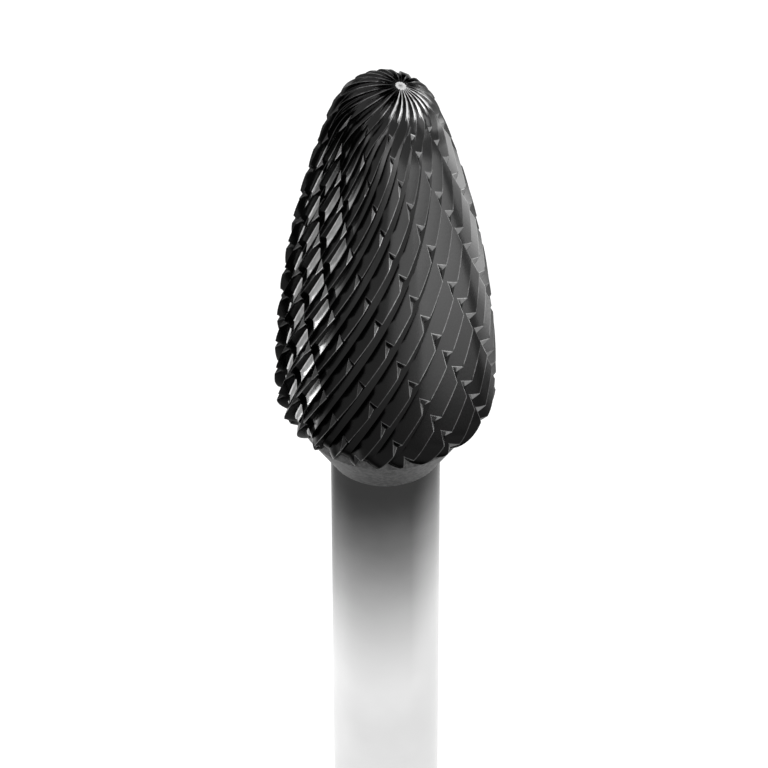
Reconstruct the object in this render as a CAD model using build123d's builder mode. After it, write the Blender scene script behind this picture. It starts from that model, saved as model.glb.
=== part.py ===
from build123d import *
from math import atan2, ceil, cos, degrees, floor, radians, sin, sqrt
import os

# Carbide burr: a tree-shaped head with a round nose and a double cut, on a plain round shank.
# Millimetres. The origin is the centre of the shank's flat end, and +Z runs to the nose.

# The whole tool
head_diameter = 12.0
head_length = 25.0
nose_radius = 3.0
shank_diameter = 6.0
shank_length = 45.0
shank_chamfer = 0.4

# Back end of the head, with heights above the face that the shank is joined to
collar_diameter = 6.2
heel_diameter = 9.3
heel_height = 2.55
heel_cover = 1.1
rim_height = 2.75
rim_diameter = 9.5
widest_height = 4.85

# Primary cut: right-hand teeth. Shares are parts of the step from one cutting edge to the next.
tooth_count = 26
tooth_lead = 62.0
tooth_turn = 5.3
gullet_depth = 0.66
gullet_floor_share = 0.10
land_heel_share = 0.45
land_heel_depth = 0.58

# Every other gullet runs out short of the nose, between these distances from the tip
runout_start = 4.0
runout_end = 1.4
nose_flat_diameter = 0.6

# Secondary cut: left-hand chip breakers, each a groove of even depth that notches every cutting edge
groove_count = 13
groove_lead = 74.0
groove_turn = 2.8
groove_depth = 0.37
groove_width_share = 0.31

# Derived sizes
head_radius = head_diameter / 2
heel_radius = heel_diameter / 2
nose_centre = head_length - nose_radius
flank_rise = nose_centre - widest_height
flank_radius = (flank_rise**2 + head_radius**2 - nose_radius**2) / (2 * (head_radius - nose_radius))
flank_top = widest_height + flank_radius * sin(atan2(flank_rise, flank_radius - head_radius))
back_drop = head_radius - rim_diameter / 2
back_fall = widest_height - rim_height
back_radius = (back_fall**2 + back_drop**2) / (2 * back_drop)

cut_bottom = widest_height - 0.98 * back_radius
cut_top = nose_centre + sqrt(nose_radius**2 - (nose_flat_diameter / 2) ** 2)
tooth_pitch = 360 / tooth_count
groove_pitch = 360 / groove_count
tooth_twist = 360 / tooth_lead
cross_twist = tooth_twist + 360 / groove_lead

notch_end_share = 1 - groove_depth / land_heel_depth * (1 - land_heel_share)
column_shares = (0.0, gullet_floor_share, land_heel_share, notch_end_share)
column_depths = (0.0, gullet_depth, land_heel_depth, groove_depth)
row_shares = (0.0, groove_width_share / 2, 0.5, 1 - groove_width_share / 2)
CUTTING_EDGE = 0
GROOVE_MIDDLE = 0


def envelope(height):
    """Radius of the cutting edges at a height above the head's back face."""
    if height < widest_height:
        return head_radius - back_radius + sqrt(back_radius**2 - (widest_height - height) ** 2)
    if height < flank_top:
        return head_radius - flank_radius + sqrt(flank_radius**2 - (height - widest_height) ** 2)
    return sqrt(nose_radius**2 - (height - nose_centre) ** 2)


def depth_scale(tooth, height):
    """Share of the full depth that the gullet ahead of a cutting edge has at a height."""
    scale = envelope(height) / head_radius
    if tooth % 2 == 0:
        return scale
    left = (head_length - runout_end - height) / (runout_start - runout_end)
    return scale * min(max(left, 0.0), 1.0)


def cut_point(column, row):
    """Point where a line along a tooth meets a line along a chip breaker."""
    tooth, kind = divmod(column, len(column_shares))
    groove, place = divmod(row, len(row_shares))
    phase = tooth_turn + (tooth + column_shares[kind]) * tooth_pitch
    cross = groove_turn + (groove + row_shares[place]) * groove_pitch
    free_height = (cross - phase) / cross_twist
    height = min(max(free_height, cut_bottom), cut_top)
    radius = envelope(height) - column_depths[kind] * depth_scale(tooth, height)
    if kind == CUTTING_EDGE and place == GROOVE_MIDDLE and height == free_height:
        radius -= groove_depth * min(depth_scale(tooth, height), depth_scale(tooth - 1, height))
    angle = radians(phase + tooth_twist * height)
    return Vector(radius * sin(angle), -radius * cos(angle), shank_length + height)


def facets(column):
    """Triangles of the strip between one line along a tooth and the next."""
    phase = tooth_turn + column / len(column_shares) * tooth_pitch
    lowest = floor((phase + cut_bottom * cross_twist - groove_turn) / groove_pitch) - 1
    highest = ceil((phase + cut_top * cross_twist - groove_turn) / groove_pitch) + 1
    found = []
    for row in range(lowest * len(row_shares), highest * len(row_shares)):
        near, near_up = cut_point(column, row), cut_point(column, row + 1)
        far, far_up = cut_point(column + 1, row), cut_point(column + 1, row + 1)
        if row % len(row_shares) == GROOVE_MIDDLE:
            corners = [(near, far, far_up), (near, far_up, near_up)]
        else:
            corners = [(near, far, near_up), (far, far_up, near_up)]
        for corner in corners:
            sides = [(corner[i] - corner[i - 1]).length for i in range(3)]
            if min(sides) > 1e-6:
                found.append(Face(Wire.make_polygon(corner)))
    return found


def end_face(height_row):
    """Flat face that closes the cut surface at one end."""
    ring = [cut_point(column, height_row) for column in range(tooth_count * len(column_shares))]
    return Face(Wire.make_polygon(ring))


with BuildPart() as carbide_head:
    skin = [end_face(-1000), end_face(1000)]
    for column in range(tooth_count * len(column_shares)):
        skin += facets(column)
    add(Solid(Shell(skin)))
    with BuildSketch(Plane.XZ):
        with BuildLine():
            Polyline(
                (0, shank_length),
                (collar_diameter / 2, shank_length),
                (heel_radius, shank_length + heel_height),
                (heel_radius, shank_length + heel_height + heel_cover),
                (0, shank_length + heel_height + heel_cover),
                close=True,
            )
        make_face()
    revolve(axis=Axis.Z)
carbide_head.part.label = "carbide_head"

with BuildPart() as steel_shank:
    with BuildSketch(Plane.XY):
        Circle(shank_diameter / 2)
    extrude(amount=shank_length)
    chamfer(steel_shank.edges().group_by(Axis.Z)[0], shank_chamfer)
steel_shank.part.label = "steel_shank"

os.makedirs("parts", exist_ok=True)
for piece in (carbide_head, steel_shank):
    export_step(piece.part, f"parts/{piece.part.label}.step")
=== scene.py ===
from math import atan2, ceil, cos, degrees, floor, pi, radians, sin, sqrt

import bpy
from mathutils import Euler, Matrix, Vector


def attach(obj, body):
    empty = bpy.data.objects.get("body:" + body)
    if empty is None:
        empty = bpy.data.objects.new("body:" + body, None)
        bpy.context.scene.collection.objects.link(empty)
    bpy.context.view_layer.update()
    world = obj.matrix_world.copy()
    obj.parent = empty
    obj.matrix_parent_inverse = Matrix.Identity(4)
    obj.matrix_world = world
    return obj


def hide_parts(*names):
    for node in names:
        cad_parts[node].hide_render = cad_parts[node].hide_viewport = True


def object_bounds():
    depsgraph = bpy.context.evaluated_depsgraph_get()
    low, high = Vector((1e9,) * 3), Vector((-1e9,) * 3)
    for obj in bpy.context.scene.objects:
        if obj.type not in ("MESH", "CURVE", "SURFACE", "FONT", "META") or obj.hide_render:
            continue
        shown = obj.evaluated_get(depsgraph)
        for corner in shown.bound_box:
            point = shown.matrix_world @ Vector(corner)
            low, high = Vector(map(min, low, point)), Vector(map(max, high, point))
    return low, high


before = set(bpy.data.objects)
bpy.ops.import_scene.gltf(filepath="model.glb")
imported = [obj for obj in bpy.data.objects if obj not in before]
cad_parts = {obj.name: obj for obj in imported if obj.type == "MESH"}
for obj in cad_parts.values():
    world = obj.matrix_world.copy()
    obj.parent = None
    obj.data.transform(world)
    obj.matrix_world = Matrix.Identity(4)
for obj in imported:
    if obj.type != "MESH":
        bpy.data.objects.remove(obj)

cad_box = [list(map(float, corner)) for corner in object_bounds()]
MM = 0.001

# Sizes of the tool in mm and degrees, as in the part's source. A share is a part of the step from one
# cutting edge, or one groove, to the next. Heights of the head are above the face that the shank meets.
HEAD_RADIUS, HEAD_LENGTH = 6.0, 25.0
NOSE_RADIUS, NOSE_FLAT_RADIUS = 3.0, 0.3
SHANK_LENGTH = 45.0
COLLAR_RADIUS, HEEL_RADIUS, HEEL_HEIGHT, HEEL_COVER = 3.1, 4.65, 2.55, 1.1
RIM_HEIGHT, RIM_RADIUS, WIDEST_HEIGHT, BACK_SHARE = 2.75, 4.75, 4.85, 0.98
TEETH, TOOTH_LEAD, TOOTH_TURN = 26, 62.0, 5.3
LAND_HEEL_SHARE, LAND_HEEL_DEPTH = 0.45, 0.58
GROOVES, GROOVE_LEAD, GROOVE_TURN = 13, 74.0, 2.8
GROOVE_DEPTH, GROOVE_SHARE = 0.37, 0.31

# Form that only the visual has: the bevel on each cutting edge, the collar's small chamfer, where every
# other gullet runs out below the tip, and how far the flutes at the tip lean, towards which side, and how
# far below the nose's centre the lean begins
EDGE_BEVEL_SHARE = 0.02
COLLAR_CHAMFER = 0.06
RUNOUT_START, RUNOUT_END = 1.6, 0.5
NOSE_LEAN, NOSE_LEAN_TURN, LEAN_DROP = radians(17.4), radians(68), 0.5

# Smoothness: angles above which an edge stays sharp, and faces round the heel
SHARP_TOOTH, SHARP_HEEL = radians(24), radians(30)
HEEL_SEGMENTS = 160

# Derived sizes
NOSE_CENTRE = HEAD_LENGTH - NOSE_RADIUS
FLANK_RISE = NOSE_CENTRE - WIDEST_HEIGHT
NOSE_DROP = HEAD_RADIUS - NOSE_RADIUS
FLANK_RADIUS = (FLANK_RISE**2 + HEAD_RADIUS**2 - NOSE_RADIUS**2) / (2 * NOSE_DROP)
FLANK_TOP = WIDEST_HEIGHT + FLANK_RADIUS * sin(atan2(FLANK_RISE, FLANK_RADIUS - HEAD_RADIUS))
BACK_DROP, BACK_FALL = HEAD_RADIUS - RIM_RADIUS, WIDEST_HEIGHT - RIM_HEIGHT
BACK_RADIUS = (BACK_FALL**2 + BACK_DROP**2) / (2 * BACK_DROP)
CUT_BOTTOM = WIDEST_HEIGHT - BACK_SHARE * BACK_RADIUS
CUT_TOP = NOSE_CENTRE + sqrt(NOSE_RADIUS**2 - NOSE_FLAT_RADIUS**2)
TOOTH_PITCH, GROOVE_PITCH = 360 / TEETH, 360 / GROOVES
TOOTH_TWIST = 360 / TOOTH_LEAD
CROSS_TWIST = TOOTH_TWIST + 360 / GROOVE_LEAD
NOTCH_SHARE = 1 - GROOVE_DEPTH / LAND_HEEL_DEPTH * (1 - LAND_HEEL_SHARE)


def land_depth(share):
    """How far the land lies below the cutting edges, in mm."""
    return LAND_HEEL_DEPTH * (1 - share) / (1 - LAND_HEEL_SHARE)


# Lines along a tooth, as (share, depth in mm): the hooked face, the gullet, the land and its notches
NOTCH_STEPS = 6
HOOK = [(0.0, 0.0), (0.02, 0.13), (0.06, 0.42)]
GULLET = [(0.09, 0.60), (0.12, 0.65), (0.20, 0.637), (0.33, 0.607)]
LAND = [(share, land_depth(share)) for share in (LAND_HEEL_SHARE, 0.50, 0.55)]
NOTCH_SHARES = [NOTCH_SHARE + (1 - NOTCH_SHARE) * i / NOTCH_STEPS for i in range(NOTCH_STEPS)]
LAND_TOP = [(share, land_depth(share)) for share in NOTCH_SHARES + [1 - EDGE_BEVEL_SHARE]]
COLUMNS = HOOK + GULLET + LAND + LAND_TOP
FLOOR_LINE = len(HOOK)
HEEL_LINE = FLOOR_LINE + len(GULLET)
NOTCH_LINE = HEEL_LINE + len(LAND)
LINES = len(COLUMNS)

# Lines along a chip breaker, as (share, depth in mm): down one side of the groove, the plain part of the
# tooth, and the other side. The groove's steps are the land's, so a notch's border runs along the mesh.
HALF_GROOVE = GROOVE_SHARE / 2
PLAIN_STEPS = 10
NOTCH_DEPTHS = [land_depth(share) for share in NOTCH_SHARES] + [0.0]
ROWS = [(HALF_GROOVE * i / NOTCH_STEPS, NOTCH_DEPTHS[i]) for i in range(NOTCH_STEPS + 1)]
ROWS += [(HALF_GROOVE + (1 - GROOVE_SHARE) * i / PLAIN_STEPS, 0.0) for i in range(1, PLAIN_STEPS)]
ROWS += [(1 - HALF_GROOVE * i / NOTCH_STEPS, NOTCH_DEPTHS[i]) for i in range(NOTCH_STEPS, 0, -1)]
ROW_COUNT = len(ROWS)

# Lighter areas of the carbide, in this order: painted highlights on the gullets of one side and on the
# tooth tops at the tip, painted sheen in the notches and on the lands of the other side, and the wear of
# the notches' borders and the cutting edges, with painted highlights added to it on one side and at the
# tip. A pair is a soft border, as where it starts and ends, in degrees of turn from the front to the right
# or in mm of height. Only
# GULLET_ROWS is a hard range, in shares of the step from one groove to the next.
GULLETS_RISE, GULLETS_FADE = (-100, -80), (18.0, 22.5)
GULLETS_FALL_AT_JOINT, GULLETS_FALL_PER_MM, GULLETS_FALL_HALF = -58, 1.5, 9
GULLETS_LIFT, GULLETS_LIFT_FADE = 0.5, (6.0, 13.0)
GULLET_ROWS = (0.14, 0.82)
TIP_RISE, TIP_FALL, TIP_HEIGHT = (-18, -4), (82, 98), (24.2, 24.4)
TIP_GLINT_SHARE, TIP_GLINT_HEIGHT = 0.85, (23.9, 24.4)
NOTCH_SHEEN, NOTCH_LIFT, NOTCH_RISE, NOTCH_FALL = 0.15, 1.65, (-5, 30), (120, 150)
LAND_RISE, LAND_FALL = (68, 84), (110, 140)
BORDER_WEAR, BORDER_LIFT, BORDER_RISE, BORDER_FALL = 0.6, 0.3, (-20, 10), (120, 160)
EDGE_WEAR, EDGE_LIFT, EDGE_RISE, EDGE_FALL = 0.55, 0.25, (-60, -40), (0, 20)
EDGE_LIFT_HEIGHT = (8.0, 12.0)


def smooth_step(value, low, high):
    t = min(max((value - low) / (high - low), 0.0), 1.0)
    return t * t * (3 - 2 * t)


def window(value, rise, fall):
    """1 between two soft borders and 0 outside them."""
    return smooth_step(value, *rise) * (1 - smooth_step(value, *fall))


def envelope(height):
    """Radius of the head over the cutting edges, in mm."""
    if height < WIDEST_HEIGHT:
        return HEAD_RADIUS - BACK_RADIUS + sqrt(BACK_RADIUS**2 - (WIDEST_HEIGHT - height) ** 2)
    if height < FLANK_TOP:
        return HEAD_RADIUS - FLANK_RADIUS + sqrt(FLANK_RADIUS**2 - (height - WIDEST_HEIGHT) ** 2)
    return sqrt(NOSE_RADIUS**2 - (height - NOSE_CENTRE) ** 2)


def depth_scale(tooth, height):
    """Share of its full depth that a gullet has: less where the head is thin or the gullet runs out."""
    scale = envelope(height) / HEAD_RADIUS
    if tooth % 2 == 0:
        return scale
    left = (HEAD_LENGTH - RUNOUT_END - height) / (RUNOUT_START - RUNOUT_END)
    return scale * min(max(left, 0.0), 1.0)


def skin_point(angle, radius, height):
    """A point of the cut skin, in metres, kept inside the solids' box.

    The teeth meet a little off the axis at the nose.
    """
    along = radius * cos(angle - NOSE_LEAN_TURN)
    across = radius * sin(angle - NOSE_LEAN_TURN)
    up = height - NOSE_CENTRE
    lean = NOSE_LEAN * smooth_step(height, NOSE_CENTRE - LEAN_DROP, CUT_TOP)
    along, up = along * cos(lean) + up * sin(lean), up * cos(lean) - along * sin(lean)
    x = along * sin(NOSE_LEAN_TURN) + across * cos(NOSE_LEAN_TURN)
    y = across * sin(NOSE_LEAN_TURN) - along * cos(NOSE_LEAN_TURN)
    place = (x * MM, y * MM, (SHANK_LENGTH + NOSE_CENTRE + up) * MM)
    return tuple(min(max(value, low), high) for value, low, high in zip(place, *cad_box))


def wear_at(line, on_border, turn, height):
    """How chipped a point is, from 0, untouched, to 1, chipped bright; painted highlights raise it along
    the edges of one side and at the tip.
    """
    worn_and_glinting = 0.0
    if on_border:
        worn_and_glinting = BORDER_WEAR + BORDER_LIFT * window(turn, BORDER_RISE, BORDER_FALL)
    elif line in (0, LINES - 1):
        lift = window(turn, EDGE_RISE, EDGE_FALL) * smooth_step(height, *EDGE_LIFT_HEIGHT)
        worn_and_glinting = EDGE_WEAR + EDGE_LIFT * lift
    if line == 0 or COLUMNS[line][0] > TIP_GLINT_SHARE:
        worn_and_glinting = max(worn_and_glinting, smooth_step(height, *TIP_GLINT_HEIGHT))
    return worn_and_glinting


def highlight_at(line, place, turn, height):
    """Painted highlights on ground faces: the gullets of one side and, up to 2, the tooth tops at the tip.
    """
    if FLOOR_LINE <= line <= HEEL_LINE and GULLET_ROWS[0] < ROWS[place][0] < GULLET_ROWS[1]:
        end = GULLETS_FALL_PER_MM * height + GULLETS_FALL_AT_JOINT
        side = window(turn, GULLETS_RISE, (end - GULLETS_FALL_HALF, end + GULLETS_FALL_HALF))
        lift = GULLETS_LIFT * (1 - smooth_step(height, *GULLETS_LIFT_FADE))
        return side * (1 - smooth_step(height, *GULLETS_FADE)) * (1 + lift)
    if line >= NOTCH_LINE:
        return 2 * window(turn, TIP_RISE, TIP_FALL) * smooth_step(height, *TIP_HEIGHT)
    return 0.0


def freshness(notched, turn):
    """Painted sheen, up to 2: in the notches and, on one side, on the lands as well."""
    if notched:
        return NOTCH_SHEEN + NOTCH_LIFT * window(turn, NOTCH_RISE, NOTCH_FALL)
    return window(turn, LAND_RISE, LAND_FALL)


class CutSkin:
    """The double cut as one closed skin: lines along the teeth crossed by lines along the grooves."""

    def __init__(self):
        self.points, self.wear, self.where = [], [], []
        self.faces, self.fresh, self.bright = [], [], []
        self.index_of = {}
        for column in range(LINES * TEETH):
            self.fill_strip(column)
        self.close(CUT_BOTTOM, at_nose=False)
        self.close(CUT_TOP, at_nose=True)

    def vertex(self, column, row):
        """The index of the point where a line along a tooth crosses one along a chip breaker."""
        if column >= LINES * TEETH:
            column, row = column - LINES * TEETH, row - ROW_COUNT * GROOVES
        tooth, line = divmod(column, LINES)
        groove, place = divmod(row, ROW_COUNT)
        share, depth = COLUMNS[line]
        row_share, groove_depth = ROWS[place]
        phase = TOOTH_TURN + (tooth + share) * TOOTH_PITCH
        cross = GROOVE_TURN + (groove + row_share) * GROOVE_PITCH
        free_height = (cross - phase) / CROSS_TWIST
        height = min(max(free_height, CUT_BOTTOM), CUT_TOP)
        key = (column, row) if height == free_height else (column, height)
        if key in self.index_of:
            return self.index_of[key]
        scale = depth_scale(tooth, height)
        cut = depth * scale
        on_border = False
        if height == free_height:
            cut = max(cut, groove_depth * min(scale, depth_scale(tooth - 1, height)))
            step = min(place, ROW_COUNT - place)
            on_land_border = NOTCH_LINE <= line < LINES - 1 and step == line - NOTCH_LINE
            on_border = on_land_border or (line == 0 and step < NOTCH_STEPS)
        angle = radians(phase + TOOTH_TWIST * height)
        turn = (degrees(angle) + 180) % 360 - 180
        self.points.append(skin_point(angle, envelope(height) - cut, height))
        self.where.append((turn, height))
        self.wear.append(wear_at(line, on_border, turn, height))
        self.index_of[key] = len(self.points) - 1
        return self.index_of[key]

    def fill_strip(self, column):
        """The faces between two lines along a tooth, with diagonals along the notches' borders."""
        tooth, line = divmod(column, LINES)
        phase = TOOTH_TURN + (tooth + COLUMNS[line][0]) * TOOTH_PITCH
        lowest = floor((phase + CUT_BOTTOM * CROSS_TWIST - GROOVE_TURN) / GROOVE_PITCH) - 1
        highest = ceil((phase + CUT_TOP * CROSS_TWIST - GROOVE_TURN) / GROOVE_PITCH) + 1
        for row in range(lowest * ROW_COUNT, highest * ROW_COUNT):
            near, near_up = self.vertex(column, row), self.vertex(column, row + 1)
            far, far_up = self.vertex(column + 1, row), self.vertex(column + 1, row + 1)
            place = row % ROW_COUNT
            falling = place < NOTCH_STEPS
            if falling:
                halves = [(near, far, far_up), (near, far_up, near_up)]
            else:
                halves = [(near, far, near_up), (far, far_up, near_up)]
            step = place if falling else ROW_COUNT - 1 - place
            inner = 0 if falling else 1
            reach = line - NOTCH_LINE
            for i, corners in enumerate(halves):
                if len(set(corners)) == 3:
                    cut_here = step < reach or (step == reach and i == inner)
                    notched = line >= NOTCH_LINE and step < NOTCH_STEPS and cut_here
                    turn, height = self.where[corners[0]]
                    self.faces.append(corners)
                    self.fresh.append(freshness(notched, turn))
                    self.bright.append(highlight_at(line, place, turn, height))

    def close(self, height, at_nose):
        """A fan of faces over the ring of points at one end."""
        ring = [self.index_of[(column, height)] for column in range(LINES * TEETH)]
        self.points.append(skin_point(0.0, 0.0, height))
        # At the nose, the centre point and its fan of faces get painted highlights
        self.wear.append(1.0 if at_nose else 0.0)
        centre = len(self.points) - 1
        for a, b in zip(ring, ring[1:] + ring[:1]):
            self.faces.append((centre, a, b) if at_nose else (centre, b, a))
            self.fresh.append(0.0)
            self.bright.append(2.0 if at_nose else 0.0)


def make_object(name, points, faces):
    mesh = bpy.data.meshes.new(name)
    mesh.from_pydata(points, [], faces)
    mesh.validate()
    obj = bpy.data.objects.new(name, mesh)
    bpy.context.scene.collection.objects.link(obj)
    return obj


def revolved(name, profile, segments):
    """A closed solid of revolution from (radius, height) pairs in mm that start and end on the axis."""
    points, faces = [(0.0, 0.0, profile[0][1] * MM)], []
    for radius, height in profile[1:-1]:
        for i in range(segments):
            angle = 2 * pi * i / segments
            points.append((radius * cos(angle) * MM, radius * sin(angle) * MM, height * MM))
    points.append((0.0, 0.0, profile[-1][1] * MM))
    last = len(points) - 1
    rings = len(profile) - 2
    top = 1 + (rings - 1) * segments
    for i in range(segments):
        j = (i + 1) % segments
        faces.append((0, 1 + j, 1 + i))
        for ring in range(rings - 1):
            a, b = 1 + ring * segments, 1 + (ring + 1) * segments
            faces.append((a + i, a + j, b + j, b + i))
        faces.append((top + i, top + j, last))
    return make_object(name, points, faces)


class Nodes:
    """A small builder for node materials."""

    def __init__(self, name):
        self.material = bpy.data.materials.new(name)
        self.material.use_nodes = True
        self.tree = self.material.node_tree
        self.shader = self.tree.nodes["Principled BSDF"]

    def feed(self, socket, value):
        if isinstance(value, bpy.types.NodeSocket):
            self.tree.links.new(value, socket)
        else:
            socket.default_value = value

    def add(self, kind, inputs=(), **settings):
        node = self.tree.nodes.new(kind)
        for key, value in settings.items():
            setattr(node, key, value)
        for key, value in dict(inputs).items():
            self.feed(node.inputs[key], value)
        return node

    def place(self):
        return self.add("ShaderNodeTexCoord").outputs["Object"]

    def attribute(self, name):
        return self.add("ShaderNodeAttribute", attribute_name=name).outputs["Fac"]

    def math(self, operation, a, b):
        return self.add("ShaderNodeMath", {0: a, 1: b}, operation=operation).outputs[0]

    def ramp(self, value, low, high, low_out=0.0, high_out=1.0, kind="LINEAR"):
        limits = {"From Min": low, "From Max": high, "To Min": low_out, "To Max": high_out}
        inputs = {"Value": value, **limits}
        return self.add("ShaderNodeMapRange", inputs, interpolation_type=kind).outputs[0]

    def blend(self, factor, a, b):
        node = self.add("ShaderNodeMix", data_type="RGBA")
        factor_socket, a_socket, b_socket = node.inputs[0], node.inputs[6], node.inputs[7]
        for socket, value in ((factor_socket, factor), (a_socket, a), (b_socket, b)):
            self.feed(socket, value)
        return node.outputs[2]

    def noise(self, vector, scale, detail):
        inputs = {"Vector": vector, "Scale": scale, "Detail": detail}
        return self.add("ShaderNodeTexNoise", inputs).outputs["Fac"]

    def shade(self, **sockets):
        for key, value in sockets.items():
            self.feed(self.shader.inputs[key.replace("_", " ")], value)

    def bump(self, height, strength, distance):
        inputs = {"Height": height, "Strength": strength, "Distance": distance}
        node = self.add("ShaderNodeBump", inputs)
        self.tree.links.new(node.outputs[0], self.shader.inputs["Normal"])


def grey(value):
    return (value, value, value, 1.0)


def carbide_material():
    """Ground carbide: nearly black, with painted shade towards the joint, painted sheen and painted
    highlights, and light chips along its edges.
    """
    n = Nodes("ground_carbide")
    place = n.place()
    # Painted sheen and painted highlights, per face
    fresh, bright = n.attribute("fresh_cut"), n.attribute("painted_highlight")
    cloud, fine = n.noise(place, 260.0, 2.0), n.noise(place, 5200.0, 3.0)
    mottle = n.noise(place, 1500.0, 3.0)
    height = n.add("ShaderNodeSeparateXYZ", {"Vector": place}).outputs["Z"]
    # The lands, with painted shade that darkens them towards the joint
    land = n.blend(n.ramp(cloud, 0.35, 0.7), grey(0.023), grey(0.029))
    base = n.blend(n.ramp(height, 0.050, 0.061), grey(0.009), land)
    # Painted sheen in the notches and on the lands of one side, in two steps of lightness
    base = n.blend(n.ramp(fresh, 0.0, 1.0), base, grey(0.075))
    base = n.blend(n.ramp(fresh, 1.0, 2.0), base, grey(0.22))
    # Painted highlights: mottled bright faces, and nearly white ones at the tip
    ground = n.blend(n.ramp(mottle, 0.35, 0.65), grey(0.54), grey(0.78))
    base = n.blend(n.ramp(bright, 0.0, 1.0), base, ground)
    base = n.blend(n.ramp(bright, 1.0, 2.0), base, grey(0.95))
    # Small chips along the edges, and painted highlights along the edges of one side and at the tip
    worn_and_glinting = n.ramp(n.attribute("edge_wear"), 0.4, 0.9)
    chips_and_glints = n.math("MULTIPLY", worn_and_glinting, n.ramp(fine, 0.3, 0.6, 0.45, 1.0))
    n.shade(
        Base_Color=n.blend(chips_and_glints, base, grey(0.17)),
        Metallic=n.ramp(bright, 0.0, 1.0, 1.0, 0.3),
        Roughness=n.ramp(cloud, 0.3, 0.7, 0.17, 0.21),
        Specular_Tint=grey(0.45),
    )
    n.bump(fine, 0.06, 0.00002)
    return n.material


def sintered_material():
    """Carbide as it leaves the furnace: dull, grainy and specked."""
    n = Nodes("sintered_carbide")
    place = n.place()
    grain = n.noise(place, 4200.0, 4.0)
    light = n.blend(n.noise(place, 700.0, 2.0), grey(0.04), grey(0.08))
    n.shade(
        Base_Color=n.blend(n.ramp(grain, 0.40, 0.60), grey(0.025), light),
        Metallic=0.5,
        Roughness=0.6,
    )
    n.bump(grain, 0.5, 0.00006)
    return n.material


def steel_material():
    """Bright ground steel, darkened near the joint, less far on the right."""
    n = Nodes("ground_steel")
    place = n.place()
    split = n.add("ShaderNodeSeparateXYZ", {"Vector": place})
    across, height = split.outputs["X"], split.outputs["Z"]
    rings = n.add("ShaderNodeMapping", {"Vector": place, "Scale": (120.0, 120.0, 9000.0)}).outputs[0]
    streak, cloud = n.noise(rings, 1.0, 3.0), n.noise(place, 160.0, 3.0)
    side = n.ramp(across, 0.0014, 0.0030, 0.0, 0.004)
    wavy = n.math("SUBTRACT", n.math("ADD", height, n.ramp(cloud, 0.3, 0.7, -0.0008, 0.0008)), side)
    # Darker near the joint, reaching less far down on the right
    joint_darkening = n.ramp(wavy, 0.0289, 0.0443, kind="SMOOTHSTEP")
    bright = n.blend(n.ramp(cloud, 0.3, 0.7), grey(0.59), grey(0.68))
    n.shade(
        Base_Color=n.blend(joint_darkening, bright, grey(0.034)),
        Specular_Tint=n.blend(joint_darkening, grey(1.0), grey(0.5)),
        Metallic=1.0,
        Roughness=n.ramp(streak, 0.3, 0.7, 0.19, 0.27),
    )
    n.bump(streak, 0.15, 0.00002)
    return n.material


# The cut part of the head
skin = CutSkin()
teeth = make_object("carbide_teeth", skin.points, skin.faces)
# Per point the edges' chips with painted highlights; per face painted sheen and painted highlights
for name, domain, values in (
    ("edge_wear", "POINT", skin.wear),
    ("fresh_cut", "FACE", skin.fresh),
    ("painted_highlight", "FACE", skin.bright),
):
    teeth.data.attributes.new(name, "FLOAT", domain).data.foreach_set("value", values)
teeth.data.shade_smooth()
teeth.data.set_sharp_from_angle(angle=SHARP_TOOTH)
teeth.data.materials.append(carbide_material())

# The plain back cone of the head
heel_top = SHANK_LENGTH + HEEL_HEIGHT
heel_profile = [
    (0, SHANK_LENGTH),
    (COLLAR_RADIUS - COLLAR_CHAMFER, SHANK_LENGTH),
    (COLLAR_RADIUS, SHANK_LENGTH + COLLAR_CHAMFER),
    (HEEL_RADIUS, heel_top),
    (HEEL_RADIUS, heel_top + HEEL_COVER),
    (0, heel_top + HEEL_COVER),
]
heel = revolved("carbide_heel", heel_profile, HEEL_SEGMENTS)
heel.data.shade_smooth()
heel.data.set_sharp_from_angle(angle=SHARP_HEEL)
heel.data.materials.append(sintered_material())

for piece in (teeth, heel):
    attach(piece, "root")
    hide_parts("carbide_head")

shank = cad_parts["steel_shank"]
shank.data.materials.clear()
shank.data.materials.append(steel_material())

# The floor, whose colour and glow give the white background
FLOOR_HALF = 1.2
floor_signs = ((-1, -1), (1, -1), (1, 1), (-1, 1))
floor_corners = [(x * FLOOR_HALF, y * FLOOR_HALF, 0) for x, y in floor_signs]
floor_piece = make_object("floor", floor_corners, [(0, 1, 2, 3)])


def seen_directly(tree):
    """1 for camera, glossy and transmission rays, 0 for the rest."""
    path = tree.nodes.new("ShaderNodeLightPath")
    total = path.outputs["Is Camera Ray"]
    for name in ("Is Glossy Ray", "Is Transmission Ray"):
        node = tree.nodes.new("ShaderNodeMath")
        node.operation = "MAXIMUM"
        tree.links.new(total, node.inputs[0])
        tree.links.new(path.outputs[name], node.inputs[1])
        total = node.outputs[0]
    return total


def floor_material():
    """Pale floor that glows less around the tool's foot: a painted shadow that deepens the tool's real
    shadow there.
    """
    n = Nodes("floor_white")
    length = n.add("ShaderNodeVectorMath", {0: n.place()}, operation="LENGTH")
    glow = n.ramp(length.outputs["Value"], 0.003, 0.030, 0.42, 0.64, "SMOOTHSTEP")
    n.shade(
        Base_Color=grey(0.7),
        Roughness=0.9,
        Emission_Color=grey(1.0),
        Emission_Strength=n.math("MULTIPLY", seen_directly(n.tree), glow),
    )
    return n.material


floor_piece.data.materials.append(floor_material())

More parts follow.
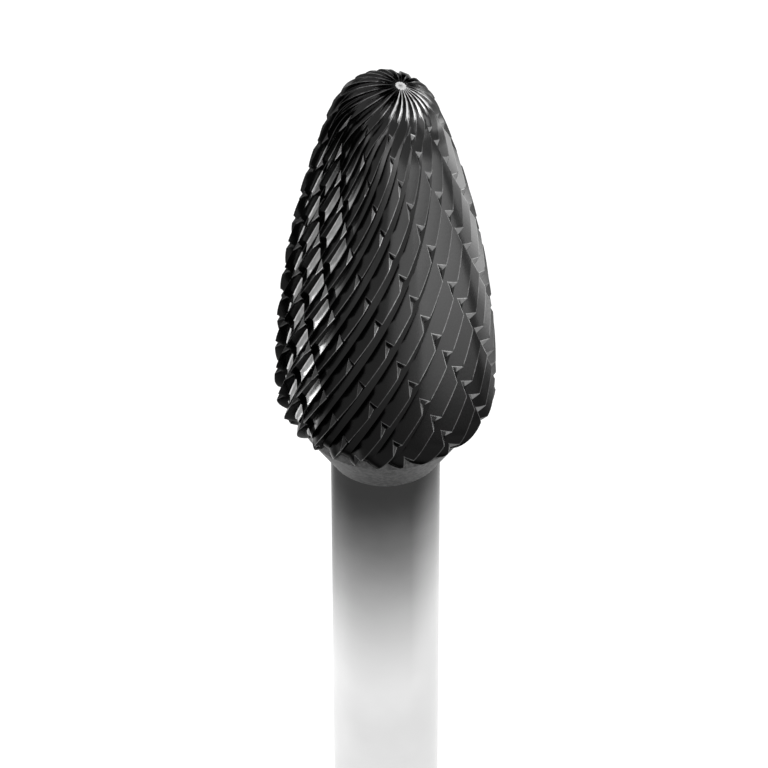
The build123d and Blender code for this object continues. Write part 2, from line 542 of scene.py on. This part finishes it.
# The world: white where it is seen, and dimmer as a light
WORLD_LIGHT, WORLD_SEEN = 0.35, 1.0
world = bpy.context.scene.world or bpy.data.worlds.new("studio")
bpy.context.scene.world = world
world.use_nodes = True
tree = world.node_tree
tree.nodes.clear()
background = tree.nodes.new("ShaderNodeBackground")
background.inputs["Color"].default_value = grey(1.0)
strength = tree.nodes.new("ShaderNodeMapRange")
strength.inputs["To Min"].default_value = WORLD_LIGHT
strength.inputs["To Max"].default_value = WORLD_SEEN
tree.links.new(seen_directly(tree), strength.inputs["Value"])
tree.links.new(strength.outputs[0], background.inputs["Strength"])
world_out = tree.nodes.new("ShaderNodeOutputWorld")
tree.links.new(background.outputs[0], world_out.inputs[0])

# The lamps: turn from the front to the right and elevation in degrees, distance from the middle of the
# head, width and height in metres, and radiance, which is how bright the lamp's face is
MIDDLE_HEIGHT = 12.0
HEAD_MIDDLE = Vector((0, 0, (SHANK_LENGTH + MIDDLE_HEIGHT) * MM))
LAMPS = {
    "low_left": (-115, -32, 0.085, 0.08, 0.026, 5.0),
    "front_strip": (5, 7.5, 0.30, 0.40, 0.055, 5.0),
    "left_strip": (-44, 8, 0.30, 0.17, 0.055, 2.6),
    "right_strip": (76, 3, 0.30, 0.29, 0.06, 5.0),
    "back_strip": (178, 9, 0.30, 0.42, 0.06, 3.0),
    "nose_light": (45, 40, 0.32, 0.22, 0.13, 3.0),
}


def direction(turn, elevation):
    """A unit vector from its turn and elevation in radians."""
    return Vector((cos(elevation) * sin(turn), -cos(elevation) * cos(turn), sin(elevation)))


for name, (turn, elevation, distance, width, height, radiance) in LAMPS.items():
    lamp_data = bpy.data.lights.new(name, "AREA")
    lamp_data.shape = "RECTANGLE"
    lamp_data.size, lamp_data.size_y = width, height
    lamp_data.energy = radiance * pi * width * height
    lamp = bpy.data.objects.new(name, lamp_data)
    bpy.context.scene.collection.objects.link(lamp)
    outwards = direction(radians(turn), radians(elevation))
    lamp.location = HEAD_MIDDLE + outwards * distance
    lamp.rotation_euler = (-outwards).to_track_quat("-Z", "Y").to_euler()

# The camera: above the tool's front, looking down at the head. The middle of the head shows at
# TARGET_PIXEL of a picture PIXELS wide, at PIXELS_PER_MM.
CAMERA_ELEVATION, CAMERA_DISTANCE, CAMERA_ROLL = radians(38.3), 250.0, -0.002
PIXELS, PIXELS_PER_MM, TARGET_PIXEL = 768, 18.80, (385.7, 278.2)
FOCAL_PIXELS = PIXELS_PER_MM * CAMERA_DISTANCE
camera_data = bpy.data.cameras.new("camera")
camera_data.sensor_width = 36.0
camera_data.lens = FOCAL_PIXELS / PIXELS * camera_data.sensor_width
camera_data.clip_start = 0.01
camera = bpy.data.objects.new("camera", camera_data)
bpy.context.scene.collection.objects.link(camera)
bpy.context.scene.camera = camera
camera.location = HEAD_MIDDLE + direction(0, CAMERA_ELEVATION) * CAMERA_DISTANCE * MM
tilt_down = atan2(PIXELS / 2 - TARGET_PIXEL[1], FOCAL_PIXELS)
turn_right = atan2(PIXELS / 2 - TARGET_PIXEL[0], FOCAL_PIXELS)
camera.rotation_euler = Euler((pi / 2 - CAMERA_ELEVATION - tilt_down, 0, -turn_right))
camera.rotation_euler.rotate_axis("Z", CAMERA_ROLL)

bpy.context.scene.view_settings.view_transform = "Standard"
